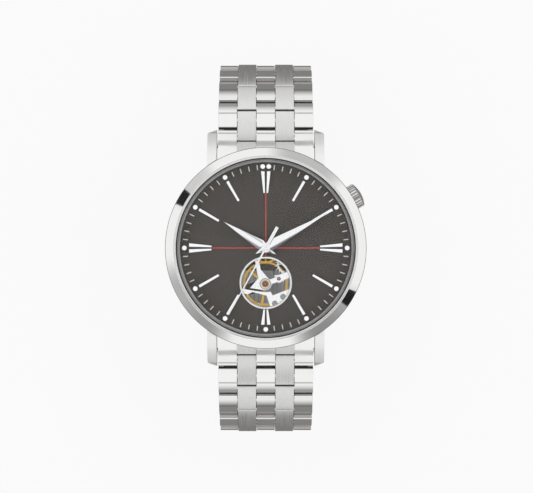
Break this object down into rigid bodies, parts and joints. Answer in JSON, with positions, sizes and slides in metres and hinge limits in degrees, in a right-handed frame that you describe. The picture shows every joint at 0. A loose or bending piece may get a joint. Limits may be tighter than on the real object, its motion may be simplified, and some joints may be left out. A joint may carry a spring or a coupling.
{
  "type": "wristwatch",
  "caption": "Automatic wristwatch with an open-heart dial, three hands, a round steel case with a fluted crown, and a five-column link bracelet with a folding clasp.",
  "frame": {"origin": "centre of the case back's flat outer face", "axes": "+Z out of the dial, +Y to 12 o'clock along the bracelet, +X to 3 o'clock"},
  "size_m": [0.0408, 0.0772, 0.05],
  "materials": {
    "steel": "polished stainless steel",
    "bracelet_steel": "polished and brushed stainless steel",
    "crystal_glass": "clear sapphire",
    "seal_rubber": "black nitrile",
    "dial_paint": "dark grey sunray lacquer",
    "white_marker": "polished and white luminous",
    "ruby": "synthetic ruby",
    "gilt": "gilt brass",
    "blued_steel": "hairspring alloy",
    "brushed_movement": "rhodium-plated, brushed"
  },
  "bodies": {
    "watch_head": {"mid_case": "steel", "bezel": "steel", "crystal": "crystal_glass", "gaskets": "seal_rubber", "case_back": "steel", "case_back_glass": "crystal_glass", "rehaut": "steel", "dial": "dial_paint", "aperture_ring": "steel", "hour_markers": "white_marker", "main_plate": "brushed_movement", "train_bridge": "brushed_movement", "balance_bridge": "brushed_movement", "jewels": "ruby", "movement_screws": "steel", "movement_ring": "steel", "crown_tube": "steel", "end_links": "steel", "spring_bars": "steel", "hairspring": "blued_steel"},
    "second_hand_set": {"second_hand": "steel"},
    "minute_hand_set": {"minute_hand": "steel", "cannon_pinion": "steel"},
    "hour_hand_set": {"hour_hand": "steel", "hour_wheel": "gilt"},
    "minute_wheel_body": {"minute_wheel": "gilt"},
    "mainspring_barrel_body": {"mainspring_barrel": "gilt"},
    "centre_wheel_body": {"centre_wheel": "gilt"},
    "third_wheel_body": {"third_wheel": "gilt"},
    "fourth_wheel_body": {"fourth_wheel": "gilt"},
    "escape_wheel_body": {"escape_wheel": "steel"},
    "pallet_fork_body": {"pallet_fork": "steel"},
    "balance_wheel_body": {"balance_wheel": "gilt"},
    "rotor_body": {"rotor": "brushed_movement"},
    "crown_slide": {"crown_seal": "seal_rubber"},
    "crown_set": {"crown": "steel", "winding_stem": "steel"},
    "top_link_0": {"top_link_0": "bracelet_steel"},
    "top_link_1": {"top_link_1": "bracelet_steel"},
    "top_link_2": {"top_link_2": "bracelet_steel"},
    "top_link_3": {"top_link_3": "bracelet_steel"},
    "top_link_4": {"top_link_4": "bracelet_steel"},
    "top_link_5": {"top_link_5": "bracelet_steel"},
    "top_link_6": {"top_link_6": "bracelet_steel"},
    "top_link_7": {"top_link_7": "bracelet_steel"},
    "top_link_8": {"top_link_8": "bracelet_steel"},
    "bottom_link_0": {"bottom_link_0": "bracelet_steel"},
    "bottom_link_1": {"bottom_link_1": "bracelet_steel"},
    "bottom_link_2": {"bottom_link_2": "bracelet_steel"},
    "bottom_link_3": {"bottom_link_3": "bracelet_steel"},
    "bottom_link_4": {"bottom_link_4": "bracelet_steel"},
    "bottom_link_5": {"bottom_link_5": "bracelet_steel"},
    "bottom_link_6": {"bottom_link_6": "bracelet_steel"},
    "bottom_link_7": {"bottom_link_7": "bracelet_steel"},
    "bottom_link_8": {"bottom_link_8": "bracelet_steel"},
    "inner_blade_body": {"inner_blade": "steel"},
    "outer_blade_body": {"outer_blade": "steel"},
    "clasp_cover_body": {"clasp_cover": "steel"},
    "left_push_button_body": {"left_push_button": "steel"},
    "right_push_button_body": {"right_push_button": "steel"}
  },
  "joints": [
    {"name": "second_hand_turn", "type": "hinge", "parent": "watch_head", "child": "second_hand_set", "pos_m": [0, 0, 0.004], "axis": [0, 0, 1], "continuous": true},
    {"name": "centre_wheel_turn", "type": "hinge", "parent": "watch_head", "child": "centre_wheel_body", "pos_m": [0, 0, 0.004], "axis": [0, 0, 1], "continuous": true},
    {"name": "third_wheel_turn", "type": "hinge", "parent": "watch_head", "child": "third_wheel_body", "pos_m": [0.00346, 0.00101, 0.004], "axis": [0, 0, 1], "continuous": true},
    {"name": "fourth_wheel_turn", "type": "hinge", "parent": "watch_head", "child": "fourth_wheel_body", "pos_m": [0.0063, -0.0012, 0.004], "axis": [0, 0, 1], "continuous": true},
    {"name": "escape_wheel_turn", "type": "hinge", "parent": "watch_head", "child": "escape_wheel_body", "pos_m": [0.0043, -0.0033, 0.004], "axis": [0, 0, 1], "continuous": true},
    {"name": "barrel_turn", "type": "hinge", "parent": "watch_head", "child": "mainspring_barrel_body", "pos_m": [-0.00524, 0.00367, 0.004], "axis": [0, 0, 1], "continuous": true},
    {"name": "minute_hand_turn", "type": "hinge", "parent": "watch_head", "child": "minute_hand_set", "pos_m": [0, 0, 0.004], "axis": [0, 0, 1], "continuous": true},
    {"name": "hour_hand_turn", "type": "hinge", "parent": "watch_head", "child": "hour_hand_set", "pos_m": [0, 0, 0.004], "axis": [0, 0, 1], "continuous": true},
    {"name": "minute_wheel_turn", "type": "hinge", "parent": "watch_head", "child": "minute_wheel_body", "pos_m": [-0.00141, 0.00141, 0.004], "axis": [0, 0, 1], "continuous": true},
    {"name": "rotor_turn", "type": "hinge", "parent": "watch_head", "child": "rotor_body", "pos_m": [0, 0, 0.004], "axis": [0, 0, 1], "continuous": true},
    {"name": "pallet_fork_rock", "type": "hinge", "parent": "watch_head", "child": "pallet_fork_body", "pos_m": [0.00266, -0.00625, 0.0048], "axis": [0, 0, 1], "range_deg": [-6, 6]},
    {"name": "balance_swing", "type": "hinge", "parent": "watch_head", "child": "balance_wheel_body", "pos_m": [-0.00008, -0.0073, 0.004], "axis": [0, 0, 1], "range_deg": [-270, 270], "stiffness_Nm_per_rad": 0.00000095, "deforming": ["hairspring"]},
    {"name": "crown_pull", "type": "slide", "parent": "watch_head", "child": "crown_slide", "axis": [0.866, 0.5, 0], "range_m": [0, 0.0012]},
    {"name": "crown_turn", "type": "hinge", "parent": "crown_slide", "child": "crown_set", "pos_m": [0.01819, 0.0105, 0.00455], "axis": [0.866, 0.5, 0], "continuous": true},
    {"name": "top_link_0_hinge", "type": "hinge", "parent": "watch_head", "child": "top_link_0", "pos_m": [0, 0.02335, 0.0027], "axis": [1, 0, 0], "range_deg": [0, 3]},
    {"name": "top_link_1_hinge", "type": "hinge", "parent": "top_link_0", "child": "top_link_1", "pos_m": [0, 0.0262, 0.00255], "axis": [1, 0, 0], "range_deg": [0, 23]},
    {"name": "top_link_2_hinge", "type": "hinge", "parent": "top_link_1", "child": "top_link_2", "pos_m": [0, 0.03132, 0.00005], "axis": [1, 0, 0], "range_deg": [0, 20]},
    {"name": "top_link_3_hinge", "type": "hinge", "parent": "top_link_2", "child": "top_link_3", "pos_m": [0, 0.03528, -0.00405], "axis": [1, 0, 0], "range_deg": [0, 26]},
    {"name": "top_link_4_hinge", "type": "hinge", "parent": "top_link_3", "child": "top_link_4", "pos_m": [0, 0.03704, -0.00947], "axis": [1, 0, 0], "range_deg": [0, 18]},
    {"name": "top_link_5_hinge", "type": "hinge", "parent": "top_link_4", "child": "top_link_5", "pos_m": [0, 0.03704, -0.01517], "axis": [1, 0, 0], "range_deg": [0, 16]},
    {"name": "top_link_6_hinge", "type": "hinge", "parent": "top_link_5", "child": "top_link_6", "pos_m": [0, 0.03547, -0.02065], "axis": [1, 0, 0], "range_deg": [0, 16]},
    {"name": "top_link_7_hinge", "type": "hinge", "parent": "top_link_6", "child": "top_link_7", "pos_m": [0, 0.03245, -0.02548], "axis": [1, 0, 0], "range_deg": [0, 16]},
    {"name": "top_link_8_hinge", "type": "hinge", "parent": "top_link_7", "child": "top_link_8", "pos_m": [0, 0.02821, -0.0293], "axis": [1, 0, 0], "range_deg": [0, 16]},
    {"name": "bottom_link_0_hinge", "type": "hinge", "parent": "watch_head", "child": "bottom_link_0", "pos_m": [0, -0.02335, 0.0027], "axis": [-1, 0, 0], "range_deg": [0, 3]},
    {"name": "bottom_link_1_hinge", "type": "hinge", "parent": "bottom_link_0", "child": "bottom_link_1", "pos_m": [0, -0.0262, 0.00255], "axis": [-1, 0, 0], "range_deg": [0, 23]},
    {"name": "bottom_link_2_hinge", "type": "hinge", "parent": "bottom_link_1", "child": "bottom_link_2", "pos_m": [0, -0.03132, 0.00005], "axis": [-1, 0, 0], "range_deg": [0, 20]},
    {"name": "bottom_link_3_hinge", "type": "hinge", "parent": "bottom_link_2", "child": "bottom_link_3", "pos_m": [0, -0.03528, -0.00405], "axis": [-1, 0, 0], "range_deg": [0, 26]},
    {"name": "bottom_link_4_hinge", "type": "hinge", "parent": "bottom_link_3", "child": "bottom_link_4", "pos_m": [0, -0.03704, -0.00947], "axis": [-1, 0, 0], "range_deg": [0, 18]},
    {"name": "bottom_link_5_hinge", "type": "hinge", "parent": "bottom_link_4", "child": "bottom_link_5", "pos_m": [0, -0.03704, -0.01517], "axis": [-1, 0, 0], "range_deg": [0, 16]},
    {"name": "bottom_link_6_hinge", "type": "hinge", "parent": "bottom_link_5", "child": "bottom_link_6", "pos_m": [0, -0.03547, -0.02065], "axis": [-1, 0, 0], "range_deg": [0, 16]},
    {"name": "bottom_link_7_hinge", "type": "hinge", "parent": "bottom_link_6", "child": "bottom_link_7", "pos_m": [0, -0.03245, -0.02548], "axis": [-1, 0, 0], "range_deg": [0, 16]},
    {"name": "bottom_link_8_hinge", "type": "hinge", "parent": "bottom_link_7", "child": "bottom_link_8", "pos_m": [0, -0.02821, -0.0293], "axis": [-1, 0, 0], "range_deg": [0, 16]},
    {"name": "clasp_swing", "type": "hinge", "parent": "bottom_link_8", "child": "inner_blade_body", "pos_m": [0, -0.02309, -0.03179], "axis": [-1, 0, 0], "range_deg": [0, 40]},
    {"name": "clasp_unfold", "type": "hinge", "parent": "inner_blade_body", "child": "outer_blade_body", "pos_m": [0, 0.01869, -0.03333], "axis": [1, 0, 0], "range_deg": [0, 135]},
    {"name": "cover_unfold", "type": "hinge", "parent": "outer_blade_body", "child": "clasp_cover_body", "pos_m": [0, -0.01669, -0.03464], "axis": [1, 0, 0], "range_deg": [-135, 0]},
    {"name": "left_push_button_press", "type": "slide", "parent": "clasp_cover_body", "child": "left_push_button_body", "axis": [1, 0, 0], "range_m": [0, 0.00035], "stiffness_N_per_m": 400, "springref_m": -0.0002},
    {"name": "right_push_button_press", "type": "slide", "parent": "clasp_cover_body", "child": "right_push_button_body", "axis": [-1, 0, 0], "range_m": [0, 0.00035], "stiffness_N_per_m": 400, "springref_m": -0.0002}
  ],
  "couplings": [
    {"joint": "third_wheel_turn", "follows": "second_hand_turn", "ratio": -0.13333},
    {"joint": "centre_wheel_turn", "follows": "second_hand_turn", "ratio": 0.016667},
    {"joint": "barrel_turn", "follows": "second_hand_turn", "ratio": -0.0020833},
    {"joint": "fourth_wheel_turn", "follows": "second_hand_turn", "ratio": 1},
    {"joint": "escape_wheel_turn", "follows": "second_hand_turn", "ratio": -9},
    {"joint": "minute_wheel_turn", "follows": "minute_hand_turn", "ratio": -0.33333},
    {"joint": "hour_hand_turn", "follows": "minute_hand_turn", "ratio": 0.083333},
    {"joint": "cover_unfold", "follows": "clasp_unfold", "ratio": -1}
  ]
}
